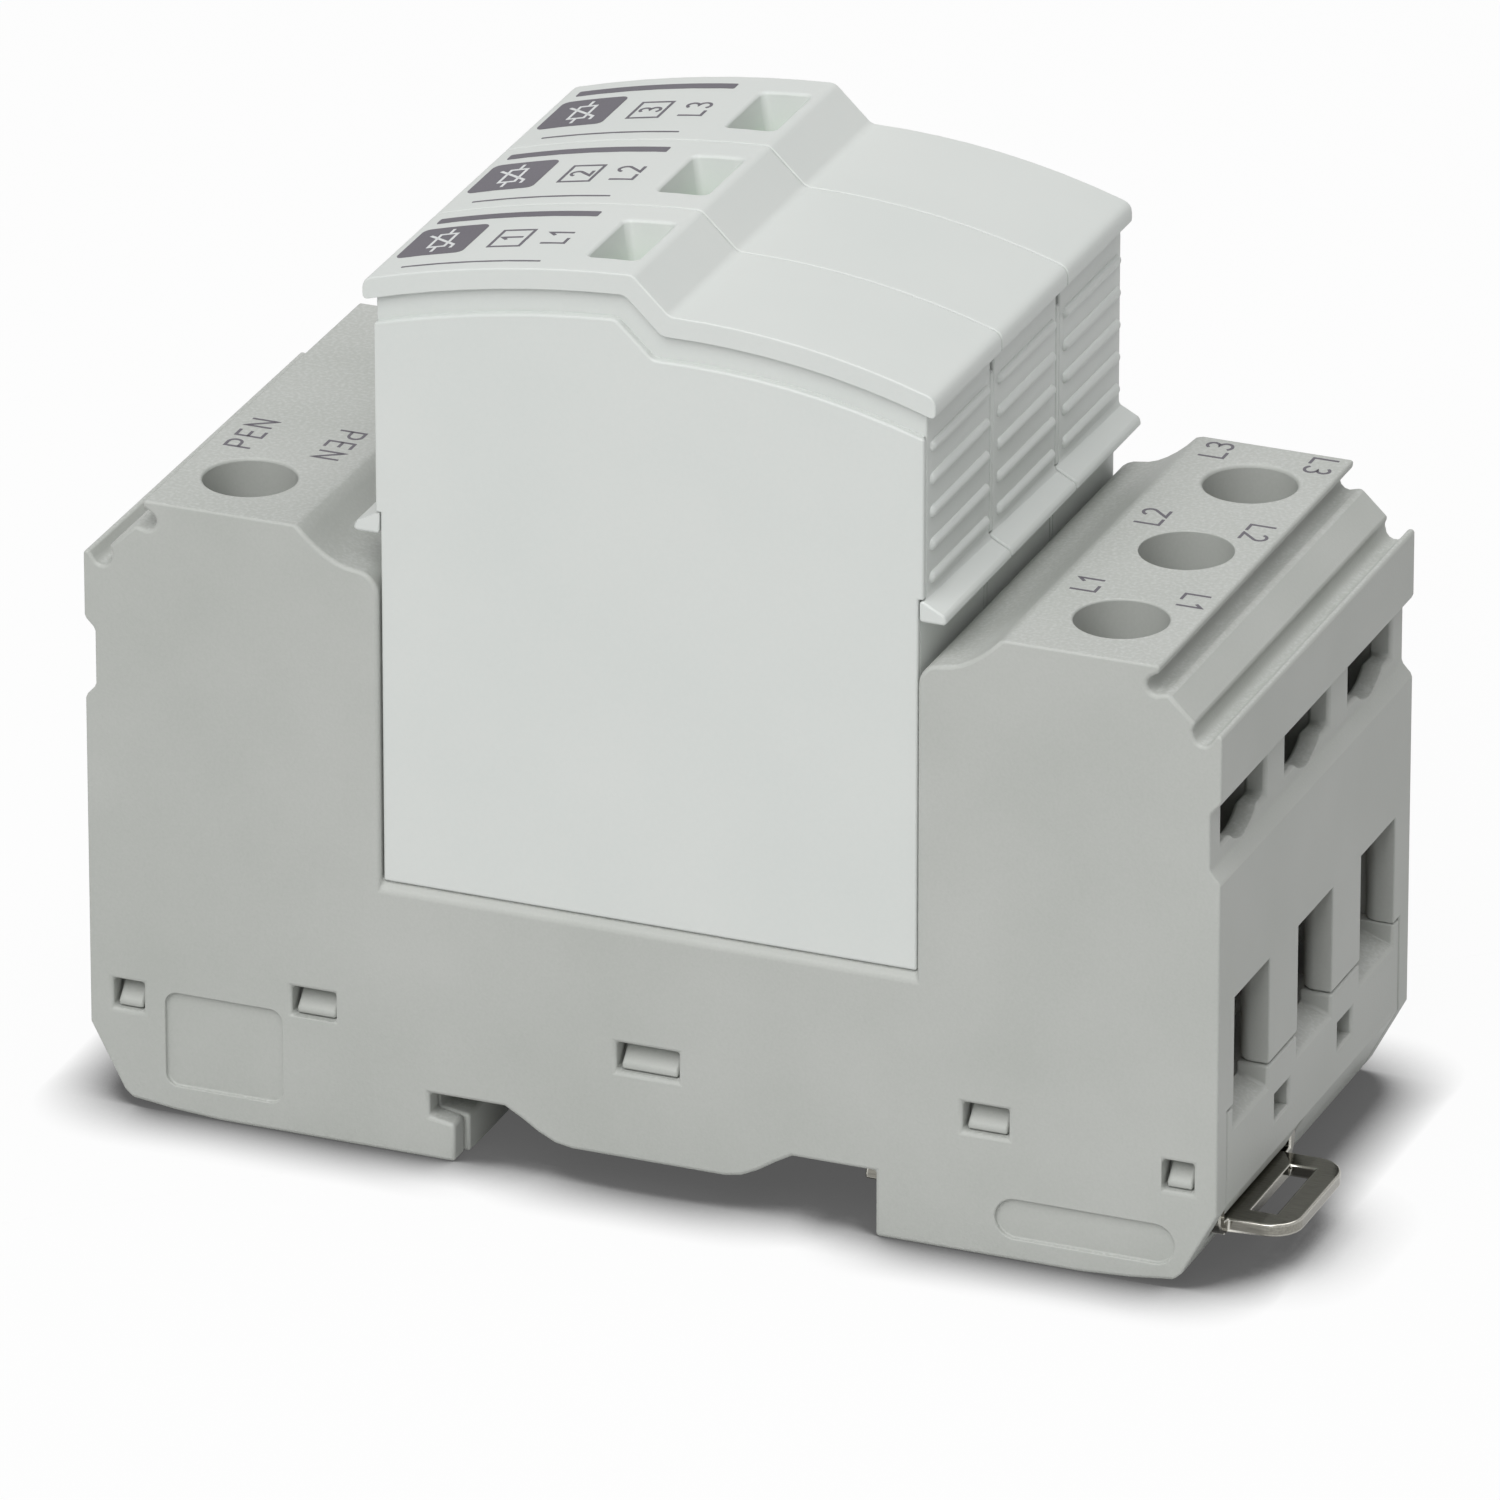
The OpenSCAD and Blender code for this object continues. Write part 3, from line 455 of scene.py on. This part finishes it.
def sides_near(mesh, face, place):
    """Edges of a face that pass close to a place."""
    for key in face.loop_indices:
        edge = mesh.edges[mesh.loops[key].edge_index]
        start, end = (mesh.vertices[i].co for i in edge.vertices)
        share = intersect_point_line(place, start, end)[1]
        nearest = start.lerp(end, min(max(share, 0.0), 1.0))
        if (nearest - Vector(place)).length < REPAIR_REACH_MM * MM:
            yield edge.index


def merged_copy(node, distance):
    """A copy of a node's mesh, and its shape with points closer than distance joined."""
    mesh = frame["nodes"][node].data.copy()
    shape = bmesh.new()
    shape.from_mesh(mesh)
    bmesh.ops.remove_doubles(shape, verts=shape.verts, dist=distance * MM)
    return mesh, shape


def rounded_copy(node, radius):
    """A merged copy of a node whose sharp edges are rounded to radius, or less where faces are narrow."""
    mesh, shape = merged_copy(node, MERGE_MM)
    bmesh.ops.dissolve_limit(shape, angle_limit=FLAT_ANGLE, verts=shape.verts, edges=shape.edges)
    walls = walls_of(body_of[node])
    sharp = {e for e in shape.edges
             if len(e.link_faces) == 2 and e.calc_face_angle() > SHARP_ANGLE and seen(e, walls)}
    runs = straight_runs(shape, sharp)
    widths = edge_widths(shape, radius * MM, sharp, runs)
    shape.edges.index_update()
    share = np.zeros(len(shape.edges))
    for edge, width in widths.items():
        share[edge.index] = width / (radius * MM)
    runs = [[e.index for e in run] for run in runs]
    home = shape.faces.layers.int.new("home")
    for index, face in enumerate(shape.faces):
        face[home] = index
        face.smooth = True
    shape.to_mesh(mesh)
    shape.free()
    piece = new_object(f"{node}_moulded", mesh)
    mesh.set_sharp_from_angle(angle=SHARP_ANGLE)
    bevel = piece.modifiers.new("edges", "BEVEL")
    bevel.limit_method = "WEIGHT"
    bevel.width = radius * MM
    bevel.segments = SEGMENTS
    bevel.use_clamp_overlap = False
    bevel.loop_slide = False
    flat = piece.modifiers.new("flat_faces", "WEIGHTED_NORMAL")
    flat.keep_sharp = True
    weight = mesh.attributes.new("bevel_weight_edge", "FLOAT", "EDGE")
    for _ in range(REPAIRS):
        for run in runs:
            share[run] = share[run].min()
        share[share * radius < THINNEST_MM] = 0.0
        weight.data.foreach_set("value", share)
        mesh.update()
        spoilt = spoilt_places(piece)
        if not spoilt:
            break
        edges = {edge for face, place in spoilt for edge in sides_near(mesh, face, place)}
        share[list(edges)] *= REPAIR_SHRINK
    mesh.attributes.remove(mesh.attributes["home"])
    mesh.materials.clear()
    mesh.materials.append(FINISHES[slot_of[node]])
    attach(piece, body_of[node])
    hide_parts(node)


for node, obj in frame["nodes"].items():
    obj.data.materials.clear()
    obj.data.materials.append(FINISHES[slot_of[node]])

# Radius of the edges of each node, in millimetres
EDGE_RADII = {"housing": 0.3, "bottom_cover": 0.25, "rail_latch": 0.15}
for pole in POLES:
    EDGE_RADII[f"plug_case_{pole}"] = 0.35
    EDGE_RADII[f"plug_cover_{pole}"] = 0.2
for node, radius in EDGE_RADII.items():
    rounded_copy(node, radius)


# Springs, whose thin wire allows only close points to be joined
WIRE_MERGE_MM = 0.005


def coil_spring(node, fixed_x):
    """A smooth copy of a spring, attached to its body. Its length from its fixed end at fixed_x is worked out
    in metres, but nothing uses it.
    """
    mesh, shape = merged_copy(node, WIRE_MERGE_MM)
    shape.to_mesh(mesh)
    shape.free()
    mesh.shade_smooth()
    mesh.set_sharp_from_angle(angle=SHARP_ANGLE)
    piece = new_object(f"{node}_wound", mesh)
    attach(piece, body_of[node])
    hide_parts(node)
    length = max(abs(corner.x - fixed_x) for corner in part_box(node))
    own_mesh(piece)


for joint in frame["record"]["behaviour"]["joints"]:
    for spring in joint.get("deforming_nodes", []):
        coil_spring(spring["node"], spring["fixed_end_x_m"])


# Printed marks: width of a stroke, thickness of the ink, and distance of the points along a stroke
STROKE_W = 0.24
INK_T = 0.02
STATION = 0.25
# Gap between two letters, as a share of their height
LETTER_GAP = 0.24
# Points closer than this are one, and a bend is drawn no sharper than this cosine of half its turn
SAME_POINT = 1e-6
SHARPEST_BEND = 0.45
# Points along a quarter circle
CORNER_POINTS = 7


def bow(centre, size, start, end, steps=14):
    """Points of an elliptic arc about centre, from start to end in degrees."""
    turn = np.radians(np.linspace(start, end, steps))
    return np.stack([centre[0] + size[0] * np.cos(turn), centre[1] + size[1] * np.sin(turn)], axis=1)


def line(*points):
    """A path with straight stretches."""
    return np.array(points, float)


def frame_line(length, height):
    """Outline of a box about the origin, which starts and ends in the middle of its lower side."""
    x, y = length / 2, height / 2
    return line((0, -y), (x, -y), (x, y), (-x, y), (-x, -y), (0, -y))


# Each letter is a width and a list of strokes, in a box of height 1
LETTERS = {
    "L": (0.55, [line((0, 1), (0, 0), (0.55, 0))]),
    "P": (0.6, [np.vstack([line((0, 0), (0, 1), (0.32, 1)), bow((0.34, 0.74), (0.26, 0.26), 90, -90),
                           line((0, 0.48))])]),
    "E": (0.52, [line((0.52, 1), (0, 1), (0, 0), (0.52, 0)), line((0, 0.53), (0.46, 0.53))]),
    "N": (0.62, [line((0, 0), (0, 1), (0.62, 0), (0.62, 1))]),
    "1": (0.35, [line((0.02, 0.72), (0.3, 1), (0.3, 0))]),
    "2": (0.58, [np.vstack([bow((0.28, 0.73), (0.27, 0.27), 165, -35), line((0, 0), (0.58, 0))])]),
    "3": (0.56, [np.vstack([bow((0.27, 0.76), (0.25, 0.24), 150, -90, 10),
                            bow((0.27, 0.26), (0.29, 0.26), 90, -150)])]),
}
# Circuit symbol of a varistor: its body, two leads, and a slanted line with a foot
VARISTOR = [frame_line(2.6, 1.3), line((-2.3, 0), (-1.3, 0)), line((1.3, 0), (2.3, 0)),
            line((-1.75, -1.3), (-1.1, -1.3), (1.25, 1.45))]


def word(text, height, gap):
    """Strokes of a word in millimetres about its middle, with its baseline along the first axis."""
    strokes = []
    start = 0.0
    for letter in text:
        width, paths = LETTERS[letter]
        strokes += [(path + (start, 0)) * height for path in paths]
        start += width + gap
    length = (start - gap) * height
    return [path - (length / 2, height / 2) for path in strokes]


def spaced(path):
    """The same path with a point at least every STATION and none twice, so that it can follow a curve."""
    path = path[np.append(True, np.linalg.norm(np.diff(path, axis=0), axis=1) > SAME_POINT)]
    steps = np.maximum(1, np.ceil(np.linalg.norm(np.diff(path, axis=0), axis=1) / STATION)).astype(int)
    pieces = [np.linspace(a, b, n, endpoint=False) for a, b, n in zip(path[:-1], path[1:], steps)]
    return np.vstack([*pieces, path[-1:]])


def ribbon(path):
    """Left and right edge of a stroke: each point moves sideways by half of STROKE_W, more at a bend."""
    path = spaced(path)
    ahead = np.diff(path, axis=0)
    ahead /= np.linalg.norm(ahead, axis=1)[:, None]
    side = np.stack([-ahead[:, 1], ahead[:, 0]], axis=1)
    before = np.vstack([side[:1], side])
    after = np.vstack([side, side[-1:]])
    middle = before + after
    middle /= np.linalg.norm(middle, axis=1)[:, None]
    stretch = 1 / np.clip((middle * after).sum(axis=1), SHARPEST_BEND, 1)
    reach = STROKE_W / 2 * stretch[:, None] * middle
    return path + reach, path - reach


def filled_box(length, height, corner):
    """Left and right edge of a filled box: half its height, less a quarter circle towards each end."""
    end = corner * (1 - np.cos(np.radians(np.linspace(0, 90, CORNER_POINTS))))
    middle = np.arange(corner + STATION, length - corner, STATION)
    along = np.concatenate([end, middle, length - end[::-1]])
    inward = np.clip(corner - np.minimum(along, length - along), 0, corner)
    half = height / 2 - corner + np.sqrt(corner ** 2 - inward ** 2)
    along = along - length / 2
    return np.stack([along, half], axis=1), np.stack([along, -half], axis=1)


def printed(name, bands, centre, right, height_at, body, ink, lift=0.0):
    """Bands of ink on a surface: each is a thin strip, closed all round, that follows the height under it.

    A band that ends where it starts is a ring and needs no end faces.
    """
    right = np.array(right, float)
    up = np.array([-right[1], right[0]])
    low, high = lift - INK_T / 2, lift + INK_T
    points = []
    faces = []
    count = 0
    for edges in bands:
        ring = np.allclose(edges[0][0], edges[0][-1])
        edges = [edge[:-1] if ring else edge for edge in edges]
        left_edge, right_edge = (centre + edge[:, :1] * right + edge[:, 1:] * up for edge in edges)
        section = ((left_edge, low), (left_edge, high), (right_edge, high), (right_edge, low))
        rows = [np.column_stack([edge, height_at(edge[:, 0]) + level]) for edge, level in section]
        stations = len(left_edge)
        index = count + np.arange(4 * stations).reshape(4, stations)
        if ring:
            index = np.hstack([index, index[:, :1]])
        ahead = np.roll(index, -1, axis=0)
        skin = np.stack([index[:, :-1], ahead[:, :-1], ahead[:, 1:], index[:, 1:]], axis=-1).reshape(-1, 4)
        faces += [skin] if ring else [skin, index[::-1, :1].T, index[:, -1:].T]
        points += rows
        count += 4 * stations
    mesh = bpy.data.meshes.new(name)
    mesh.from_pydata((np.vstack(points) * MM).tolist(), [], np.vstack(faces).tolist())
    mesh.materials.append(ink)
    piece = new_object(name, mesh)
    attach(piece, body)


def lettered(text, height, gap=LETTER_GAP):
    """Bands of ink for a word."""
    return [ribbon(path) for path in word(text, height, gap)]


# Which way the letters run
ALONG = (1, 0)
TOWARDS_FAR = (0, 1)
TOWARDS_NEAR = (0, -1)
# Heights of the letters and places of the marks: X is along the base, SHIFT is across it from the middle of
# the pole, and a pair is a place in the frame
LINE_MARK_H = 1.95
LINE_MARK_X = 30.0
LINE_MARK_OUTER_X = 38.25
LINE_MARK_SHIFT = 4.85
SYMBOL_X = -18.85
NUMBER_H = 1.6
NUMBER_X = -13.2
NUMBER_SHIFT = -0.4
PLUG_MARK_H = 1.85
PLUG_MARK_GAP = 0.3
PLUG_MARK_X = -9.6
PLUG_MARK_SHIFT = -0.35
COMMON_MARK_H = 2.05
COMMON_MARK_GAP = 0.42
COMMON_MARK = (-37.65, -5.8)
COMMON_MARK_INNER = (-30.7, -5.4)
# Length, height and corner radius of the filled marks on a crown, and where the bar and the rule lie
BAR = (12.8, 1.0, 0.15)
BAR_X = -14.7
BAR_SHIFT = 4.55
FIELD = (5.3, 5.8, 0.6)
NUMBER_BOX = (3.3, 2.45)
RULE = (11.0, 0.22, 0.05)
RULE_X = -14.5
RULE_SHIFT = -5.1

for pole in POLES:
    y = pole_y(pole)
    mark = lettered(f"L{pole}", LINE_MARK_H)
    inner = (LINE_MARK_X, y + LINE_MARK_SHIFT)
    outer = (LINE_MARK_OUTER_X, y + LINE_MARK_SHIFT)
    printed(f"line_mark_{pole}", mark, inner, TOWARDS_FAR, plateau, "base", INK)
    printed(f"line_mark_outer_{pole}", mark, outer, TOWARDS_NEAR, plateau, "base", INK)
    # On the crown: a plain bar, a dark field with the varistor symbol, the pole's number in a box, its line
    plug = f"plug_{pole}"
    symbol = [ribbon(path) for path in VARISTOR]
    number_box = [ribbon(frame_line(*NUMBER_BOX))]
    number_at = (NUMBER_X, y + NUMBER_SHIFT)
    mark = lettered(f"L{pole}", PLUG_MARK_H, PLUG_MARK_GAP)
    mark_at = (PLUG_MARK_X, y + PLUG_MARK_SHIFT)
    printed(f"crown_bar_{pole}", [filled_box(*BAR)], (BAR_X, y + BAR_SHIFT), ALONG, crown, plug, INK)
    printed(f"symbol_field_{pole}", [filled_box(*FIELD)], (SYMBOL_X, y), ALONG, crown, plug, INK)
    printed(f"varistor_symbol_{pole}", symbol, (SYMBOL_X, y), TOWARDS_FAR, crown, plug, PALE_INK, INK_T)
    printed(f"number_box_{pole}", number_box, number_at, TOWARDS_FAR, crown, plug, INK)
    printed(f"pole_number_{pole}", lettered(str(pole), NUMBER_H), number_at, TOWARDS_FAR, crown, plug, INK)
    printed(f"plug_line_mark_{pole}", mark, mark_at, TOWARDS_FAR, crown, plug, INK)
    printed(f"crown_rule_{pole}", [filled_box(*RULE)], (RULE_X, y + RULE_SHIFT), ALONG, crown, plug, INK)
common = lettered("PEN", COMMON_MARK_H, COMMON_MARK_GAP)
printed("common_mark", common, COMMON_MARK, TOWARDS_FAR, plateau, "base", INK)
printed("common_mark_inner", common, COMMON_MARK_INNER, TOWARDS_NEAR, plateau, "base", INK)


# Floor, light and camera, with the lengths of the studio in metres
FLOOR_REACH = 3.0
PAPER_DARK = "#D6D6D6"
PAPER_LIGHT = "#DADADA"
FIBRE_MM = 3.0
# How far the painted shadow on the floor reaches from the object, the share of open sky at its darkest, and
# how pale that still is
SHADOW_REACH = 0.007
SHADOW_SKY = 0.5
SHADOW_PALENESS = 0.1
# Share of the floor's own white in what the eye sees of it; the rest is lit paper
OWN_WHITE = 0.95


def eye_rays(tree):
    """1 for a ray from the eye, straight or by metal or glass, and 0 for one that lights the object."""
    ray = add(tree, "ShaderNodeLightPath")
    first = add(tree, "ShaderNodeMath", {"operation": "MAXIMUM"},
                {0: ray.outputs["Is Camera Ray"], 1: ray.outputs["Is Glossy Ray"]})
    return add(tree, "ShaderNodeMath", {"operation": "MAXIMUM"},
               {0: first.outputs["Value"], 1: ray.outputs["Is Transmission Ray"]}).outputs["Value"]


def floor():
    """A pale floor that the object stands on."""
    low, high = -FLOOR_REACH, FLOOR_REACH
    corners = [(low, low, FLOOR_Z), (high, low, FLOOR_Z), (high, high, FLOOR_Z), (low, high, FLOOR_Z)]
    mesh = bpy.data.meshes.new("studio_floor")
    mesh.from_pydata(corners, [], [(0, 1, 2, 3)])
    piece = new_object("studio_floor", mesh)
    # Uncoated paper: dull all over, with faint fibres
    material, tree, place = new_material("matte_white_paper")
    fibres = add(tree, "ShaderNodeTexNoise", inputs={"Vector": place, "Scale": per_mm(FIBRE_MM)})
    colour = add(tree, "ShaderNodeMix", {"data_type": "RGBA"}, {
        "Factor": fibres.outputs["Fac"], "A": linear(PAPER_DARK), "B": linear(PAPER_LIGHT)})
    shader = add(tree, "ShaderNodeBsdfPrincipled", inputs={
        "Base Color": colour.outputs["Result"], "Roughness": 0.9, "Specular IOR Level": 0.1})
    # The eye sees it white by itself, and darker close to the object: a painted shadow, drawn from how little
    # open sky each point has
    free = add(tree, "ShaderNodeAmbientOcclusion", {"samples": 32}, {"Distance": SHADOW_REACH})
    paleness = add(tree, "ShaderNodeMapRange", inputs={
        "Value": free.outputs["AO"], "From Min": SHADOW_SKY, "From Max": 1.0,
        "To Min": SHADOW_PALENESS, "To Max": 1.0})
    white = add(tree, "ShaderNodeEmission", inputs={"Strength": paleness.outputs["Result"]})
    share = add(tree, "ShaderNodeMath", {"operation": "MULTIPLY"}, {0: eye_rays(tree), 1: OWN_WHITE})
    both = add(tree, "ShaderNodeMixShader", inputs={
        0: share.outputs["Value"], 1: shader.outputs["BSDF"], 2: white.outputs["Emission"]})
    add(tree, "ShaderNodeOutputMaterial", inputs={"Surface": both.outputs["Shader"]})
    mesh.materials.append(material)


def stand(piece, place, back):
    """Puts a lamp or the camera in its place, with its back turned to the direction back."""
    piece.location = place
    piece.rotation_mode = "QUATERNION"
    piece.rotation_quaternion = Vector(-back).to_track_quat("-Z", "Y")


def soft_box(name, place, aim, size, power):
    """A square studio lamp that faces a point."""
    lamp = bpy.data.lights.new(name, "AREA")
    lamp.size = size
    lamp.energy = power
    stand(new_object(name, lamp), place, np.array(place) - np.array(aim))


def surroundings(shed, shown):
    """Plain white surroundings: shed is the light that they give, and shown what the eye and metal see."""
    world = bpy.data.worlds.new("studio")
    bpy.context.scene.world = world
    world.use_nodes = True
    tree = world.node_tree
    tree.nodes.clear()
    strength = add(tree, "ShaderNodeMapRange", inputs={
        "Value": eye_rays(tree), "To Min": shed, "To Max": shown})
    back = add(tree, "ShaderNodeBackground", inputs={"Strength": strength.outputs["Result"]})
    add(tree, "ShaderNodeOutputWorld", inputs={"Surface": back.outputs["Background"]})


def camera(azimuth, elevation, distance, aim, lens):
    """A long lens that looks at aim from an azimuth and elevation in degrees, lengths in millimetres."""
    turn, rise = math.radians(azimuth), math.radians(elevation)
    back = np.array([math.sin(turn) * math.cos(rise), -math.cos(turn) * math.cos(rise), math.sin(rise)])
    data = bpy.data.cameras.new("camera")
    data.lens = lens
    data.sensor_width = 36.0
    data.clip_end = 20.0
    piece = new_object("camera", data)
    stand(piece, np.array(aim) * MM + back * distance * MM, back)
    bpy.context.scene.camera = piece


LAMP_AIM = (0, 0, 0.03)

floor()
soft_box("key_lamp", place=(-0.04, -0.91, 1.06), aim=LAMP_AIM, size=1.1, power=16.1)
soft_box("top_lamp", place=(0.42, 0.3, 1.27), aim=LAMP_AIM, size=0.9, power=4.4)
surroundings(shed=0.34, shown=1.0)
camera(azimuth=22.0, elevation=24.3, distance=1340.0, aim=(0.0, 0.0, 22.5), lens=432.0)
bpy.context.scene.view_settings.view_transform = "Standard"
